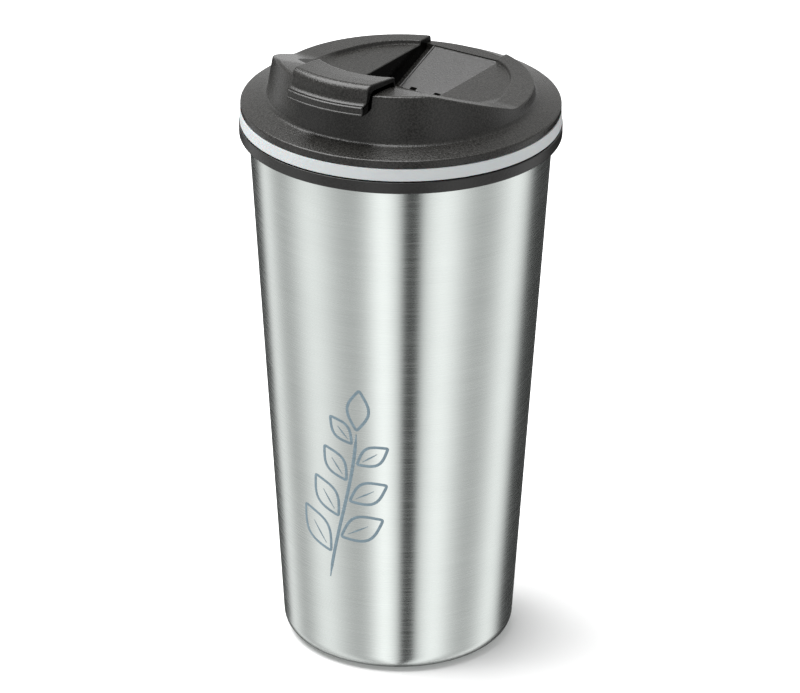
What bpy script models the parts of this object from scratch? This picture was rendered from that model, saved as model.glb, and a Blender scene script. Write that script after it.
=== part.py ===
"""Insulated travel mug: vacuum-walled steel cup, plastic neck collar, and a screw lid with a sip flap.

Frame: metres, +Z up, origin at the centre of the foot. -Y is the drinking side, +Y the back of the lid.
"""

import math

import bmesh
import bpy
from mathutils import Matrix, Vector

MM = 0.001
SEGMENTS = 48
GAP = 0.3 * MM

# Cup walls: a straight cone outside, with a vacuum gap between two thin steel walls.
STEEL = 0.6 * MM
FOOT_CONE_R = 33.0 * MM
CONE_SLOPE = 0.0625
SHELL_TOP_Z = 155.4 * MM
FOOT_FILLET = 5.0 * MM
FOOT_OPENING_R = 25.0 * MM
VESSEL_RIM_Z = 156.3 * MM
NECK_R = 39.4 * MM
NECK_BOTTOM_Z = 141.0 * MM
VACUUM_GAP = 3.0 * MM
VESSEL_FLOOR_Z = 9.5 * MM
VESSEL_CORNER = 6.0 * MM
DISH_Z = 3.0 * MM
PUMP_HOLE_R = 0.8 * MM

# Collar and seal between cup and lid.
COLLAR_R = 45.4 * MM
COLLAR_BOTTOM_Z = 154.7 * MM
COLLAR_TOP_Z = 158.05 * MM
COLLAR_LIP_Z = 157.0 * MM
SEAL_R = 45.2 * MM
SEAL_BOTTOM_Z = 158.35 * MM
SEAL_TOP_Z = 161.95 * MM

# Lid outside.
FLANGE_R = 45.0 * MM
FLANGE_BOTTOM_Z = 162.25 * MM
FLANGE_EDGE_Z = 163.9 * MM
WALL_FOOT_Z = 166.0 * MM
WALL_FOOT_R = 37.7 * MM
WALL_DRAFT = 0.17
CROWN_Z = 179.3 * MM
RIM_Z = 169.3 * MM
PANEL_Z = 168.2 * MM
RAMP_SLOPE = 0.38
RAMP_FOOT_Y = 1.2 * MM
BAND_INNER_R = 26.7 * MM
SHOULDER_INNER_R = 29.7 * MM
CRESCENT_INNER_R = 32.5 * MM
PANEL_THICKNESS = 2.0 * MM
CROWN_THICKNESS = 1.8 * MM
HOLLOW_R = 34.0 * MM
LID_SEGMENTS = 72

# Channel along the lid's centre plane.
CHANNEL_HALF = 12.7 * MM
CHANNEL_FLOOR_Z = 158.0 * MM
CHANNEL_WALL = 1.2 * MM
SEAT_WALL = 1.6 * MM
POST_HALF = 2.6 * MM
RAMP_BACK_Y = 32.6 * MM
RAMP_FRONT_Y = 12.6 * MM
BACK_STRIP_Z = 167.5 * MM
INSERT_SLOPE = 0.36
INSERT_LEFT = -10.3 * MM
INSERT_RIGHT = 12.4 * MM
INSERT_THICKNESS = 1.5 * MM
NOTCH_MIDDLES = (-5.6 * MM, 2.4 * MM)
NOTCH_HALF = 1.0 * MM
NOTCH_LENGTH = 2.0 * MM

# Flap and its hinge.
HINGE_Y = 9.0 * MM
HINGE_Z = 161.0 * MM
PIN_R = 1.25 * MM
PIN_PLAY = 0.25 * MM
BARREL_R = 2.3 * MM
BARREL_HALF = 8.4 * MM
TAB_HALF = 12.4 * MM
TAB_TOP_Z = 182.65 * MM
TAB_BACK_Z = 181.1 * MM
TAB_INNER_R = 25.3 * MM
TAB_BEND_R = 35.7 * MM
TAB_BEND = 2.45 * MM
HOOK_BOTTOM_Z = 175.1 * MM
RIB_R = 40.5 * MM
RIB_Z = 177.6 * MM
ARM_HALF = 7.5 * MM

# Lid plug and its two-start thread.
PLUG_R = 37.3 * MM
PLUG_WALL = 1.6 * MM
PLUG_BOTTOM_Z = 143.0 * MM
PLUG_FLANGE_R = 38.7 * MM
THREAD_LEAD = 10.0 * MM
THREAD_STARTS = 2
THREAD_SWEEP = math.radians(150)
THREAD_PHASE = math.radians(1.3)
THREAD_WIDTH = 1.6 * MM
THREAD_DEPTH_CUP = 1.0 * MM
THREAD_DEPTH_PLUG = 1.6 * MM
CUP_THREAD_Z = 149.5 * MM

# Sip duct from the plug's floor to the hollow crown.
DUCT_INNER_R = 29.0 * MM
DUCT_OUTER_R = 32.8 * MM
DUCT_WALL = 0.8 * MM
DUCT_HALF_ANGLE = math.radians(15)
DUCT_TOP_Z = 164.5 * MM
SIP_HALF_ANGLE = math.radians(11)
SIP_INNER_R = 29.0 * MM
SIP_OUTER_R = 32.6 * MM
VENT_Y = -12.0 * MM
VENT_R = 1.5 * MM
VENT_SEAT_Z = 156.3 * MM


def clear_scene():
    for obj in list(bpy.data.objects):
        bpy.data.objects.remove(obj, do_unlink=True)


def make_material(name, colour, roughness, metallic):
    material = bpy.data.materials.new(name)
    material.use_nodes = True
    shader = material.node_tree.nodes["Principled BSDF"]
    shader.inputs["Base Color"].default_value = (*colour, 1.0)
    shader.inputs["Roughness"].default_value = roughness
    shader.inputs["Metallic"].default_value = metallic
    return material


def finish_mesh(name, bm, material, smooth_angle=35.0):
    """Merge coincident points, point the faces outwards and make the object."""
    bmesh.ops.remove_doubles(bm, verts=bm.verts, dist=1e-6)
    bmesh.ops.dissolve_degenerate(bm, edges=bm.edges, dist=1e-6)
    bmesh.ops.recalc_face_normals(bm, faces=bm.faces)
    mesh = bpy.data.meshes.new(name)
    bm.to_mesh(mesh)
    bm.free()
    mesh.shade_smooth()
    mesh.set_sharp_from_angle(angle=math.radians(smooth_angle))
    obj = bpy.data.objects.new(name, mesh)
    bpy.context.scene.collection.objects.link(obj)
    if material is not None:
        mesh.materials.append(material)
    return obj


def arc_points(centre, radius, start_deg, end_deg, steps):
    points = []
    for i in range(steps + 1):
        angle = math.radians(start_deg + (end_deg - start_deg) * i / steps)
        points.append((centre[0] + radius * math.cos(angle), centre[1] + radius * math.sin(angle)))
    return points


def turned(name, profile, material, closed=True, segments=SEGMENTS):
    """Spin a profile of (radius, height) points around the Z axis."""
    bm = bmesh.new()
    verts = [bm.verts.new((r, 0.0, z)) for r, z in profile]
    edges = [bm.edges.new(pair) for pair in zip(verts, verts[1:])]
    if closed:
        edges.append(bm.edges.new((verts[-1], verts[0])))
    bmesh.ops.spin(
        bm,
        geom=verts + edges,
        cent=(0, 0, 0),
        axis=(0, 0, 1),
        angle=2 * math.pi,
        steps=segments,
        use_merge=True,
    )
    return finish_mesh(name, bm, material)


def grid(name, rows, material, wrap_rows=False, wrap_columns=True, cap=False):
    """A skin over rows of points with equal counts, closed as asked."""
    bm = bmesh.new()
    verts = [[bm.verts.new(point) for point in row] for row in rows]
    row_pairs = list(zip(verts, verts[1:]))
    if wrap_rows:
        row_pairs.append((verts[-1], verts[0]))
    count = len(rows[0])
    for a, b in row_pairs:
        for i in range(count if wrap_columns else count - 1):
            j = (i + 1) % count
            bm.faces.new((a[i], a[j], b[j], b[i]))
    if cap:
        bm.faces.new(verts[0])
        bm.faces.new(verts[-1])
    return finish_mesh(name, bm, material)


def prism(name, outline, lift, material=None):
    """Extrude a closed outline of 3-D points along a vector."""
    bm = bmesh.new()
    base = bm.faces.new([bm.verts.new(point) for point in outline])
    extruded = bmesh.ops.extrude_face_region(bm, geom=[base])
    moved = [g for g in extruded["geom"] if isinstance(g, bmesh.types.BMVert)]
    bmesh.ops.translate(bm, verts=moved, vec=lift)
    return finish_mesh(name, bm, material)


def side_prism(name, outline, half_width, material=None):
    """A prism across the lid from a (y, z) outline."""
    points = [(-half_width, y, z) for y, z in outline]
    return prism(name, points, (2 * half_width, 0, 0), material)


def plan_prism(name, outline, low, high, material=None):
    """A vertical prism from an (x, y) outline."""
    points = [(x, y, low) for x, y in outline]
    return prism(name, points, (0, 0, high - low), material)


def cross_cylinder(name, radius, half_length, y, z, material=None, segments=24):
    """A cylinder along X."""
    bm = bmesh.new()
    turn = Matrix.Translation((0, y, z)) @ Matrix.Rotation(math.pi / 2, 4, "Y")
    bmesh.ops.create_cone(
        bm,
        cap_ends=True,
        segments=segments,
        radius1=radius,
        radius2=radius,
        depth=2 * half_length,
        matrix=turn,
    )
    return finish_mesh(name, bm, material)


def upright_cylinder(name, radius, x, y, low, high, material=None, segments=20):
    bm = bmesh.new()
    bmesh.ops.create_cone(
        bm,
        cap_ends=True,
        segments=segments,
        radius1=radius,
        radius2=radius,
        depth=high - low,
        matrix=Matrix.Translation((x, y, (low + high) / 2)),
    )
    return finish_mesh(name, bm, material)


def combine(obj, operation, *operands):
    """Boolean modifiers with hidden operands."""
    for operand in operands:
        operand.hide_render = True
        operand.display_type = "WIRE"
        modifier = obj.modifiers.new(operand.name, "BOOLEAN")
        modifier.operation = operation
        modifier.solver = "EXACT"
        modifier.object = operand


def sector(inner, outer, half_angle, steps=6):
    """Plan outline of a ring sector centred on the drinking side."""
    angles = [-math.pi / 2 - half_angle + 2 * half_angle * i / steps for i in range(steps + 1)]
    far = [(outer * math.cos(a), outer * math.sin(a)) for a in angles]
    near = [(inner * math.cos(a), inner * math.sin(a)) for a in reversed(angles)]
    return far + near


def channel_outline(radius, half, back):
    """Plan outline of the channel: an arc towards the crown, straight sides, a flat back."""
    reach = math.asin(half / radius)
    angles = [-math.pi / 2 - reach + 2 * reach * i / 9 for i in range(10)]
    return [(radius * math.cos(a), radius * math.sin(a)) for a in angles] + [(half, back), (-half, back)]


def cone_r(z):
    return FOOT_CONE_R + CONE_SLOPE * z


def wall_r(z):
    return WALL_FOOT_R - WALL_DRAFT * (z - WALL_FOOT_Z)


def smooth(t):
    t = min(1.0, max(0.0, t))
    return t * t * (3 - 2 * t)


# ---------------------------------------------------------------- cup


def outer_shell(steel):
    """Cone with a rounded foot that turns in to a flat resting ring."""
    centre = (cone_r(FOOT_FILLET) - FOOT_FILLET, FOOT_FILLET)
    outside = [(cone_r(SHELL_TOP_Z), SHELL_TOP_Z)] + arc_points(centre, FOOT_FILLET, 0, -90, 5)
    inside = arc_points(centre, FOOT_FILLET - STEEL, -90, 0, 4) + [(cone_r(SHELL_TOP_Z) - STEEL, SHELL_TOP_Z)]
    profile = outside + [(FOOT_OPENING_R, 0.0), (FOOT_OPENING_R, STEEL)] + inside
    return turned("outer_shell", profile, steel)


def vessel_r(z):
    return cone_r(z) - 2 * STEEL - VACUUM_GAP


def inner_vessel(steel):
    """Drinking vessel: coned wall, straight threaded neck and a lip over the outer shell's edge."""
    lip_r = cone_r(VESSEL_RIM_Z) - 0.1 * MM
    shoulder_z = NECK_BOTTOM_Z - 2.0 * MM
    wall_low = vessel_r(VESSEL_FLOOR_Z + VESSEL_CORNER)
    corner = (wall_low - VESSEL_CORNER, VESSEL_FLOOR_Z + VESSEL_CORNER)
    inside = [(NECK_R, VESSEL_RIM_Z), (NECK_R, NECK_BOTTOM_Z), (vessel_r(shoulder_z), shoulder_z)]
    inside += arc_points(corner, VESSEL_CORNER, 0, -90, 4) + [(0.0, VESSEL_FLOOR_Z)]
    outside = [(0.0, VESSEL_FLOOR_Z - STEEL)] + arc_points(corner, VESSEL_CORNER + STEEL, -90, 0, 4)
    outside += [(vessel_r(shoulder_z) + STEEL, shoulder_z), (NECK_R + STEEL, NECK_BOTTOM_Z)]
    outside += [(NECK_R + STEEL, VESSEL_RIM_Z - STEEL), (lip_r, VESSEL_RIM_Z - STEEL), (lip_r, VESSEL_RIM_Z)]
    vessel = turned("inner_vessel", outside + inside, steel, closed=False)
    ridges = thread_ridges("cup_thread", NECK_R, -1, THREAD_DEPTH_CUP, CUP_THREAD_Z)
    combine(vessel, "UNION", *ridges)
    return vessel


def thread_ridges(name, root_r, direction, depth, middle_z):
    """Helical ridges, one for each start; direction +1 stands outwards, -1 inwards."""
    steps = 20
    ridges = []
    for start in range(THREAD_STARTS):
        rows = []
        for i in range(steps + 1):
            t = i / steps
            angle = THREAD_PHASE + 2 * math.pi * start / THREAD_STARTS + THREAD_SWEEP * (t - 0.5)
            z = middle_z + THREAD_LEAD * THREAD_SWEEP * (t - 0.5) / (2 * math.pi)
            height = depth * min(1.0, 0.25 + 6 * min(t, 1 - t))
            foot = root_r - direction * 0.3 * MM
            crest = root_r + direction * height
            half = THREAD_WIDTH / 2
            section = [(foot, z - half), (crest, z - half / 2), (crest, z + half / 2), (foot, z + half)]
            rows.append([(r * math.cos(angle), r * math.sin(angle), h) for r, h in section])
        ridges.append(grid(f"{name}_{start}", rows, None, cap=True))
    return ridges


def outer_bottom(steel):
    """Dished disc that closes the vacuum space, with a small pumping hole."""
    edge_r = FOOT_OPENING_R + 3.0 * MM
    low = STEEL + GAP
    slope_in = edge_r - 5.2 * MM
    slope_out = edge_r - 2.8 * MM
    shift = 0.3 * MM
    profile = [(PUMP_HOLE_R, DISH_Z), (slope_in, DISH_Z), (slope_out, low), (edge_r, low)]
    profile += [(edge_r, low + STEEL), (slope_out + shift, low + STEEL)]
    profile += [(slope_in + shift, DISH_Z + STEEL), (PUMP_HOLE_R, DISH_Z + STEEL)]
    return turned("outer_bottom", profile, steel)


def bottom_cover(steel):
    """Cap disc set into the foot ring, just above the table."""
    radius = FOOT_OPENING_R - GAP
    low = 0.4 * MM
    high = low + STEEL + 0.1 * MM
    profile = [(0.0, low), (radius - 0.4 * MM, low), (radius, low + 0.3 * MM)]
    profile += [(radius, high), (radius - 2 * MM, high), (0.0, high)]
    return turned("bottom_cover", profile, steel, closed=False)


def vacuum_seal_bead(glass):
    """Drop of sealing glass under the pumping hole."""
    top = DISH_Z - GAP
    profile = [(0.0, top - 1.1 * MM), (1.4 * MM, top - 0.9 * MM), (2.4 * MM, top - 0.4 * MM), (2.5 * MM, top)]
    return turned("vacuum_seal_bead", profile + [(0.0, top)], glass, closed=False, segments=20)


def getter_capsule(steel):
    """Gas getter fixed to the vacuum side of the bottom."""
    low = DISH_Z + STEEL + GAP
    return upright_cylinder("getter_capsule", 5.0 * MM, 11.0 * MM, 0.0, low, low + 2.2 * MM, steel)


def neck_collar(plastic):
    """Ring pressed over the steel neck, with a lip over the rim."""
    bore = cone_r(COLLAR_TOP_Z) + GAP
    lip_r = NECK_R + STEEL
    profile = [(COLLAR_R, COLLAR_TOP_Z), (COLLAR_R, COLLAR_BOTTOM_Z), (bore, COLLAR_BOTTOM_Z)]
    profile += [(bore, COLLAR_LIP_Z), (lip_r, COLLAR_LIP_Z), (lip_r, COLLAR_TOP_Z)]
    return turned("neck_collar", profile, plastic)


def collar_gasket(rubber):
    """Flat ring between the steel rim and the collar's lip."""
    low = VESSEL_RIM_Z + 0.15 * MM
    high = COLLAR_LIP_Z - 0.15 * MM
    outer = cone_r(VESSEL_RIM_Z) - 0.5 * MM
    inner = NECK_R + 0.4 * MM
    return turned("collar_gasket", [(outer, high), (outer, low), (inner, low), (inner, high)], rubber)


# ---------------------------------------------------------------- lid


def lid_seal_ring(silicone):
    """Visible band with a thinner sealing lip that lies on the collar."""
    lip_r = PLUG_FLANGE_R - 0.7 * MM
    lip_z = SEAL_BOTTOM_Z + 1.2 * MM
    step_r = PLUG_FLANGE_R + GAP
    profile = [(SEAL_R - 0.2 * MM, SEAL_TOP_Z), (SEAL_R, SEAL_BOTTOM_Z), (lip_r, SEAL_BOTTOM_Z)]
    profile += [(lip_r, lip_z), (step_r, lip_z), (step_r, SEAL_TOP_Z)]
    return turned("lid_seal_ring", profile, silicone)


def band_inner(angle):
    """Inner radius of the rim band at an angle from the drinking side."""
    degrees = abs(math.degrees(angle))
    beside = smooth((degrees - 48) / 26)
    behind = smooth((degrees - 108) / 46)
    inner = BAND_INNER_R + (SHOULDER_INNER_R - BAND_INNER_R) * beside
    return inner + (CRESCENT_INNER_R - SHOULDER_INNER_R) * behind


def blend_width(angle):
    """How far the band's inner face spreads: steep at the crown, wide beside it, crisp at the back."""
    degrees = abs(math.degrees(angle))
    widen = smooth((degrees - 45) / 30)
    narrow = 1 - smooth((degrees - 92) / 18)
    return 1.0 * MM + 4.5 * MM * widen * narrow


def band_top(y):
    """Side view of the rim band: flat crown, straight ramp, low rim, with a rounded top corner."""
    ramp = RIM_Z + RAMP_SLOPE * (RAMP_FOOT_Y - y)
    corner = 0.8 * MM
    high = min(ramp, CROWN_Z)
    near = max(0.0, corner - abs(ramp - CROWN_Z))
    foot = max(0.0, corner - abs(ramp - RIM_Z))
    return max(RIM_Z, high - near * near / (4 * corner)) + foot * foot / (4 * corner)


def lid_profile(angle):
    """Section of the lid shell at one angle from the drinking side, from the axis out and back."""
    inner = band_inner(angle)
    width = blend_width(angle)
    # The band's height is read on the outer wall, so a section has one flat top.
    top = band_top(-36.0 * MM * math.cos(angle))
    top_inner = band_top(-inner * math.cos(angle))
    edge_r = wall_r(top)
    edge = 0.7 * MM
    middle = (inner - 0.5 * width, PANEL_Z + 0.35 * (top_inner - PANEL_Z))
    upper = [(0.0, PANEL_Z), (11.0 * MM, PANEL_Z), (inner - width, PANEL_Z), middle]
    upper += [(inner, top_inner), (edge_r - edge, top), (edge_r, top - edge)]
    # A small fillet between the wall and the flange, then the flange's gentle slope and its edge.
    fillet = 0.9 * MM
    foot_z = WALL_FOOT_Z + fillet
    upper += [(wall_r(foot_z), foot_z), (WALL_FOOT_R + 0.6 * MM, WALL_FOOT_Z)]
    upper += [(WALL_FOOT_R + 1.5 * MM, WALL_FOOT_Z - 0.4 * MM)]
    upper += [(FLANGE_R - edge, FLANGE_EDGE_Z + 0.45 * MM), (FLANGE_R, FLANGE_EDGE_Z)]
    under = PANEL_Z - PANEL_THICKNESS
    roof = max(under, top_inner - CROWN_THICKNESS)
    hollow_inner = min(inner + CHANNEL_WALL, HOLLOW_R)
    if roof < PANEL_Z:
        roof = under
        hollow_inner = HOLLOW_R
    lower = [(FLANGE_R, FLANGE_BOTTOM_Z), (HOLLOW_R, FLANGE_BOTTOM_Z), (HOLLOW_R, roof)]
    return upper + lower + [(hollow_inner, roof), (hollow_inner, under), (0.0, under)]


def lid_shell(plastic):
    """Flange, domed wall, crown, crescents and panels as one skin, then the channel and the holes."""
    rows = []
    for i in range(LID_SEGMENTS):
        angle = 2 * math.pi * i / LID_SEGMENTS
        signed = angle if angle <= math.pi else angle - 2 * math.pi
        heading = angle - math.pi / 2
        profile = lid_profile(signed)
        rows.append([(r * math.cos(heading), r * math.sin(heading), z) for r, z in profile])
    shell = grid("lid_shell", rows, plastic, wrap_rows=True, wrap_columns=False)
    combine(shell, "UNION", *channel_walls())
    combine(shell, "DIFFERENCE", *channel_cuts())
    combine(shell, "UNION", *(pin_post(side) for side in (-1, 1)))
    seat = cross_cylinder("pin_seat_cut", PIN_R + PIN_PLAY, CHANNEL_HALF - 0.5 * MM, HINGE_Y, HINGE_Z)
    combine(shell, "DIFFERENCE", seat)
    return shell


def channel_walls():
    """Solid blocks that the channel and the insert's seat are cut from."""
    under = CHANNEL_FLOOR_Z - CHANNEL_WALL
    block_half = CHANNEL_HALF + CHANNEL_WALL
    block_top = PANEL_Z - 1.0 * MM
    front_y = RAMP_FRONT_Y - 1.0 * MM
    back_y = RAMP_BACK_Y + SEAT_WALL
    back_z = insert_top(RAMP_BACK_Y) - INSERT_THICKNESS - GAP - 2.3 * MM
    trough = channel_outline(BAND_INNER_R + 1.0 * MM, block_half, RAMP_FRONT_Y + 1.0 * MM)
    slope = [(front_y, under), (RAMP_FRONT_Y + 2.0 * MM, under), (back_y, back_z)]
    slope += [(back_y, block_top), (front_y, block_top)]
    trough_block = plan_prism("trough_block", trough, under, block_top)
    return trough_block, side_prism("slope_block", slope, block_half - 0.1 * MM)


def channel_cuts():
    """Cutters for the channel, the insert's seat with the gap in the back rim, the sip hole and the vent."""
    high = CROWN_Z + 6 * MM
    beyond = FLANGE_R + 5 * MM
    cut = channel_outline(BAND_INNER_R, CHANNEL_HALF, RAMP_FRONT_Y + 0.5 * MM)
    trough_cut = plan_prism("trough_cut", cut, CHANNEL_FLOOR_Z, high - 1 * MM)
    drop = INSERT_THICKNESS + GAP
    seat_y = RAMP_BACK_Y + GAP
    outline = [(RAMP_FRONT_Y, high), (RAMP_FRONT_Y, insert_top(RAMP_FRONT_Y) - drop)]
    outline += [(seat_y, insert_top(seat_y) - drop), (seat_y, BACK_STRIP_Z)]
    outline += [(beyond, BACK_STRIP_Z), (beyond, high)]
    back_cut = side_prism("back_cut", outline, CHANNEL_HALF + 0.02 * MM)
    sip_plan = sector(SIP_INNER_R, SIP_OUTER_R, SIP_HALF_ANGLE)
    sip = plan_prism("sip_cut", sip_plan, CROWN_Z - 7.3 * MM, CROWN_Z + 4.7 * MM)
    vent = upright_cylinder("vent_cut", VENT_R, 0, VENT_Y, 150 * MM, 164 * MM)
    return trough_cut, back_cut, sip, vent


def pin_post(side):
    """Post beside the channel that carries one end of the hinge pin."""
    low = CHANNEL_FLOOR_Z - 0.4 * MM
    inner = BARREL_HALF + GAP
    outer = CHANNEL_HALF + 0.4 * MM
    x_low = inner if side > 0 else -outer
    outline = [(HINGE_Y - POST_HALF, low), (HINGE_Y + POST_HALF, low)]
    outline += [(HINGE_Y + POST_HALF, HINGE_Z), (HINGE_Y - POST_HALF, HINGE_Z)]
    points = [(x_low, y, z) for y, z in outline]
    return prism(f"pin_post_{side}", points, (outer - inner, 0, 0))


def insert_top(y):
    """Height of the sloped panel behind the hinge."""
    return BACK_STRIP_Z - INSERT_SLOPE * (RAMP_BACK_Y - y)


def channel_insert(plastic):
    """Sloped panel behind the hinge, with two fingers that hold the pin down and two drain notches.

    It reaches closer to the channel's right wall than to the left one, where a drain slot stays open.
    """
    front = RAMP_FRONT_Y + GAP
    top = [(front, insert_top(front)), (RAMP_BACK_Y, BACK_STRIP_Z)]
    bottom = [(y, z - INSERT_THICKNESS) for y, z in reversed(top)]
    outline = [(INSERT_LEFT, y, z) for y, z in top + bottom]
    insert = prism("channel_insert", outline, (INSERT_RIGHT - INSERT_LEFT, 0, 0), plastic)
    finger_back = front + 1.6 * MM
    finger_top = HINGE_Z + 2.0 * MM
    arms = []
    for side in (-1, 1):
        low = HINGE_Z + GAP
        outline = [(HINGE_Y - 2.0 * MM, low), (HINGE_Y + 2.9 * MM, low), (front + 0.2 * MM, low - 1.3 * MM)]
        outline += [(finger_back, low - 1.3 * MM), (finger_back, low - 0.3 * MM)]
        outline += [(HINGE_Y + 1.6 * MM, finger_top), (HINGE_Y - 2.0 * MM, finger_top)]
        inner = BARREL_HALF + GAP
        width = CHANNEL_HALF - GAP - inner
        x_low = inner if side > 0 else -inner - width
        arms.append(prism(f"insert_finger_{side}", [(x_low, y, z) for y, z in outline], (width, 0, 0)))
    combine(insert, "UNION", *arms)
    cuts = [cross_cylinder("insert_pin_cut", PIN_R + PIN_PLAY, CHANNEL_HALF, HINGE_Y, HINGE_Z)]
    for i, x in enumerate(NOTCH_MIDDLES):
        outline = [(x - NOTCH_HALF, front - 1 * MM), (x + NOTCH_HALF, front - 1 * MM)]
        outline += [(x + NOTCH_HALF, front + NOTCH_LENGTH), (x - NOTCH_HALF, front + NOTCH_LENGTH)]
        cuts.append(plan_prism(f"drain_notch_{i}", outline, 150 * MM, 175 * MM))
    combine(insert, "DIFFERENCE", *cuts)
    return insert


def hinge_pin(steel):
    return cross_cylinder("hinge_pin", PIN_R, CHANNEL_HALF - 0.8 * MM, HINGE_Y, HINGE_Z, steel, segments=16)


def lid_plug(plastic):
    """Cup-shaped plug with the thread, the sip duct and the vent tube."""
    inner = PLUG_R - PLUG_WALL
    floor = PLUG_BOTTOM_Z + 1.8 * MM
    top = SEAL_TOP_Z
    profile = [(0.0, floor), (inner - 1.5 * MM, floor), (inner, floor + 1.5 * MM), (inner, top)]
    profile += [(PLUG_FLANGE_R, top), (PLUG_FLANGE_R, top - 1.6 * MM)]
    profile += [(PLUG_R, top - 2.6 * MM), (PLUG_R, PLUG_BOTTOM_Z + 2 * MM)]
    profile += [(PLUG_R - 2 * MM, PLUG_BOTTOM_Z), (0.0, PLUG_BOTTOM_Z)]
    plug = turned("lid_plug", profile, plastic, closed=False)
    below = THREAD_WIDTH + 0.35 * MM
    ridges = thread_ridges("plug_thread", PLUG_R, 1, THREAD_DEPTH_PLUG, CUP_THREAD_Z - below)
    wall_angle = DUCT_WALL / DUCT_INNER_R
    duct_plan = sector(DUCT_INNER_R - DUCT_WALL, DUCT_OUTER_R + DUCT_WALL, DUCT_HALF_ANGLE + wall_angle)
    duct = plan_prism("sip_duct", duct_plan, floor - 0.5 * MM, DUCT_TOP_Z)
    tube = upright_cylinder("vent_tube", VENT_R + 1.2 * MM, 0, VENT_Y, floor - 0.5 * MM, VENT_SEAT_Z)
    combine(plug, "UNION", *ridges, duct, tube)
    duct_plan = sector(DUCT_INNER_R, DUCT_OUTER_R, DUCT_HALF_ANGLE)
    duct_cut = plan_prism("sip_duct_cut", duct_plan, PLUG_BOTTOM_Z - 2 * MM, DUCT_TOP_Z + 2 * MM)
    tube_cut = upright_cylinder("vent_tube_cut", VENT_R, 0, VENT_Y, PLUG_BOTTOM_Z - 2 * MM, 160 * MM)
    combine(plug, "DIFFERENCE", duct_cut, tube_cut)
    return plug


def duct_gasket(silicone):
    """Seal between the top of the sip duct and the crown."""
    inner = DUCT_INNER_R - DUCT_WALL
    outer = DUCT_OUTER_R + DUCT_WALL
    wall_angle = DUCT_WALL / DUCT_INNER_R
    outline = sector(inner, outer, DUCT_HALF_ANGLE + wall_angle)
    gasket = plan_prism("duct_gasket", outline, DUCT_TOP_Z + 0.15 * MM, DUCT_TOP_Z + 1.4 * MM, silicone)
    hole = sector(DUCT_INNER_R, DUCT_OUTER_R, DUCT_HALF_ANGLE)
    combine(gasket, "DIFFERENCE", plan_prism("gasket_cut", hole, DUCT_TOP_Z - 1 * MM, DUCT_TOP_Z + 3 * MM))
    return gasket


# ---------------------------------------------------------------- flap


def saddle(name, section, half_width, material, stations=12):
    """Sweep an (r, z) section concentrically round the crown between two parallel ends."""
    rows = []
    for i in range(stations + 1):
        x = -half_width + 2 * half_width * i / stations
        rows.append([(x, -math.sqrt(r * r - x * x), z) for r, z in section])
    return grid(name, rows, material, cap=True)


def tab_section():
    """Section of the tab: hook with its rib outside, a top that falls back a little, a short inner lip."""
    lip_z = 177.6 * MM
    lip_r = BAND_INNER_R - 0.5 * MM
    outside = [(RIB_R - 0.2 * MM, HOOK_BOTTOM_Z), (RIB_R, HOOK_BOTTOM_Z + 0.4 * MM)]
    outside += [(RIB_R, RIB_Z - 0.3 * MM), (RIB_R - 0.3 * MM, RIB_Z), (38.9 * MM, RIB_Z + 0.1 * MM)]
    outside += arc_points((TAB_BEND_R, TAB_TOP_Z - TAB_BEND), TAB_BEND, 0, 90, 4)
    outside += [(TAB_INNER_R + 0.9 * MM, TAB_BACK_Z), (TAB_INNER_R, TAB_BACK_Z - 0.8 * MM)]
    outside += [(TAB_INNER_R - 0.3 * MM, lip_z)]
    inside = [(lip_r, lip_z), (lip_r, CROWN_Z + GAP), (TAB_BEND_R - 0.7 * MM, CROWN_Z + 1.1 * MM)]
    inside += [(36.3 * MM, CROWN_Z + 0.4 * MM), (37.2 * MM, 177.4 * MM), (37.5 * MM, HOOK_BOTTOM_Z)]
    return outside + inside


def flap(plastic):
    """Tab that hooks over the crown, with an arm down into the channel and a hinge barrel."""
    tab = saddle("flap", tab_section(), TAB_HALF, plastic)
    drop_r = BAND_INNER_R - 0.6 * MM
    arm_r = drop_r - 3.5 * MM
    arm_low = HINGE_Z - 1.4 * MM
    drop = [(arm_r, 178.2 * MM), (arm_r + 1 * MM, 179.7 * MM), (drop_r, 180.2 * MM)]
    drop += [(drop_r, arm_low + 0.8 * MM), (arm_r, arm_low + 0.8 * MM)]
    drop_piece = saddle("flap_drop", drop, ARM_HALF, None, stations=8)
    front = -23.4 * MM
    bar = [(front, arm_low), (HINGE_Y, arm_low), (HINGE_Y, HINGE_Z + 1.6 * MM)]
    bar += [(front + 2.4 * MM, HINGE_Z + 2.6 * MM), (front, HINGE_Z + 5 * MM)]
    bar_piece = side_prism("flap_bar", bar, ARM_HALF - 0.2 * MM)
    barrel = cross_cylinder("flap_barrel", BARREL_R, BARREL_HALF, HINGE_Y, HINGE_Z)
    boss_plan = sector(SIP_INNER_R - 0.6 * MM, SIP_OUTER_R + 0.6 * MM, SIP_HALF_ANGLE + math.radians(1.5))
    boss = plan_prism("stopper_boss", boss_plan, CROWN_Z + GAP, CROWN_Z + 2 * MM)
    combine(tab, "UNION", drop_piece, bar_piece, barrel, boss)
    bore = cross_cylinder("flap_bore_cut", PIN_R + PIN_PLAY, BARREL_HALF + 2 * MM, HINGE_Y, HINGE_Z)
    combine(tab, "DIFFERENCE", bore)
    return tab


def sip_stopper(silicone):
    """Soft plug under the tab that fills the sip hole."""
    inset = 0.3 * MM
    outline = sector(SIP_INNER_R + inset, SIP_OUTER_R - inset, SIP_HALF_ANGLE - inset / SIP_INNER_R)
    return plan_prism("sip_stopper", outline, CROWN_Z - 3.0 * MM, CROWN_Z, silicone)


def vent_stopper(silicone):
    """Small plug under the arm that closes the vent hole."""
    low = VENT_SEAT_Z + 0.7 * MM
    high = CHANNEL_FLOOR_Z + 1.3 * MM
    return upright_cylinder("vent_stopper", VENT_R - GAP, 0, VENT_Y, low, high, silicone, 16)


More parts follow.
